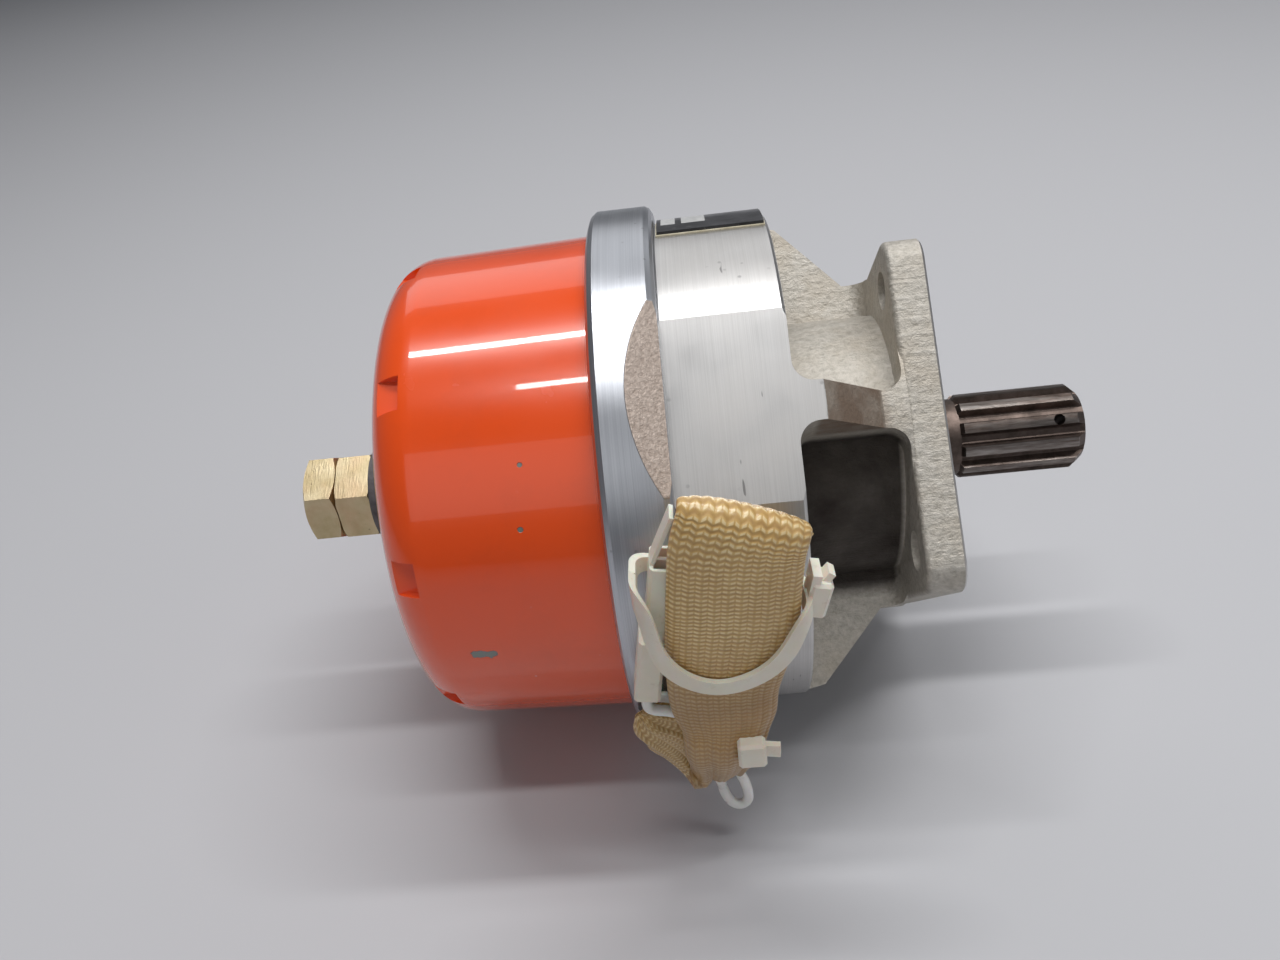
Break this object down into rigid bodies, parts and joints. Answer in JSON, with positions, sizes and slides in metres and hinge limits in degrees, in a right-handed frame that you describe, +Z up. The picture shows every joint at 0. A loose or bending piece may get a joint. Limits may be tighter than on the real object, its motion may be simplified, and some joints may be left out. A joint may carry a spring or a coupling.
{
  "type": "vacuum pump",
  "caption": "Shaft-driven dry vane vacuum pump with a square mounting flange, splined drive, internal electric clutch, cup cover and tied electrical lead",
  "frame": {"origin": "centre of the flange's mounting face, on the shaft line", "axes": "+X along the shaft out of the splined drive end, +Z up when it lies as in the picture, -Y towards the side with the lead"},
  "size_m": [0.1457, 0.1072, 0.0966],
  "materials": {
    "cast_aluminium": "sand-cast with machined body",
    "ring_aluminium": "fine turned",
    "orange_enamel": "gloss enamel",
    "dark_washer": "bonded seal",
    "yellow_zinc": "yellow passivated",
    "plate_face": "black anodised with silver fields",
    "adhesive": "thin film",
    "spline_steel": "dark oxide, worn",
    "bearing_steel": "ground",
    "plain_steel": "machined",
    "seal_rubber": "moulded",
    "copper_winding": "enamelled wire",
    "potting": "epoxy",
    "spring_steel": "rolled strip",
    "carbon": "graphite",
    "inner_aluminium": "machined",
    "bronze_screen": "sintered",
    "black_screw": "black oxide",
    "lead_rubber": "moulded",
    "teal_screw": "passivated",
    "braid": "varnished woven sleeve",
    "wire_white": "extruded insulation",
    "nylon": "natural nylon",
    "tin_contact": "plated"
  },
  "bodies": {
    "casing": {"drive_housing": "cast_aluminium", "ring_plate": "ring_aluminium", "exhaust_screen": "bronze_screen", "cup_cover": "orange_enamel", "cup_seal": "seal_rubber", "seal_washer": "dark_washer", "port_washer": "dark_washer", "port_fitting": "yellow_zinc", "port_cap": "yellow_zinc", "plate_adhesive": "adhesive", "nameplate": "plate_face", "oil_seal_case": "plain_steel", "oil_seal_lip": "seal_rubber", "bore_clip": "spring_steel", "drive_bearing_outers": "bearing_steel", "drive_bearing_balls": "bearing_steel", "bearing_spacer": "plain_steel", "field_shell": "plain_steel", "field_screws": "black_screw", "field_winding": "copper_winding", "field_potting": "potting", "pump_bearing_outers": "bearing_steel", "pump_bearing_balls": "bearing_steel", "cam_ring": "inner_aluminium", "rear_plate": "inner_aluminium", "tie_screws": "black_screw", "dowel_pins": "bearing_steel", "bearing_cap": "inner_aluminium", "cap_screws": "black_screw", "ring_screws": "black_screw", "lead_gland": "lead_rubber", "earth_screw": "teal_screw", "inner_leads": "wire_white", "lead_sleeve": "braid", "lead_wires": "wire_white", "plug_housing": "nylon", "plug_contacts": "tin_contact", "tie_upper": "nylon", "tie_lower": "nylon"},
    "drive_line": {"drive_shaft": "spline_steel", "drive_bearing_inners": "bearing_steel", "inner_spacer": "plain_steel", "clutch_disc": "plain_steel", "disc_clip": "spring_steel"},
    "pump_line": {"pump_shaft": "bearing_steel", "rotor_key": "plain_steel", "pump_bearing_inners": "bearing_steel", "rotor": "carbon", "clutch_hub": "plain_steel", "hub_rivets": "plain_steel", "clutch_straps": "spring_steel"},
    "armature": {"armature_plate": "plain_steel", "armature_rivets": "plain_steel"},
    "vane_1": {"vane_1": "carbon"},
    "vane_2": {"vane_2": "carbon"},
    "vane_3": {"vane_3": "carbon"},
    "vane_4": {"vane_4": "carbon"},
    "vane_5": {"vane_5": "carbon"},
    "vane_6": {"vane_6": "carbon"}
  },
  "joints": [
    {"name": "drive_spin", "type": "hinge", "parent": "casing", "child": "drive_line", "pos_m": [0, 0, 0], "axis": [1, 0, 0], "continuous": true},
    {"name": "pump_spin", "type": "hinge", "parent": "casing", "child": "pump_line", "pos_m": [-0.07, 0, 0], "axis": [1, 0, 0], "continuous": true},
    {"name": "armature_pull_in", "type": "slide", "parent": "pump_line", "child": "armature", "axis": [1, 0, 0], "range_m": [0, 0.00045]},
    {"name": "vane_1_slide", "type": "slide", "parent": "pump_line", "child": "vane_1", "axis": [0, -1, 0], "range_m": [0, 0.00015]},
    {"name": "vane_2_slide", "type": "slide", "parent": "pump_line", "child": "vane_2", "axis": [0, -0.5, 0.866], "range_m": [0, 0.00338]},
    {"name": "vane_3_slide", "type": "slide", "parent": "pump_line", "child": "vane_3", "axis": [0, 0.5, 0.866], "range_m": [0, 0.00143]},
    {"name": "vane_4_slide", "type": "slide", "parent": "pump_line", "child": "vane_4", "axis": [0, 1, 0], "range_m": [0, 0.00015]},
    {"name": "vane_5_slide", "type": "slide", "parent": "pump_line", "child": "vane_5", "axis": [0, 0.5, -0.866], "range_m": [0, 0.00338]},
    {"name": "vane_6_slide", "type": "slide", "parent": "pump_line", "child": "vane_6", "axis": [0, -0.5, -0.866], "range_m": [0, 0.00143]}
  ]
}
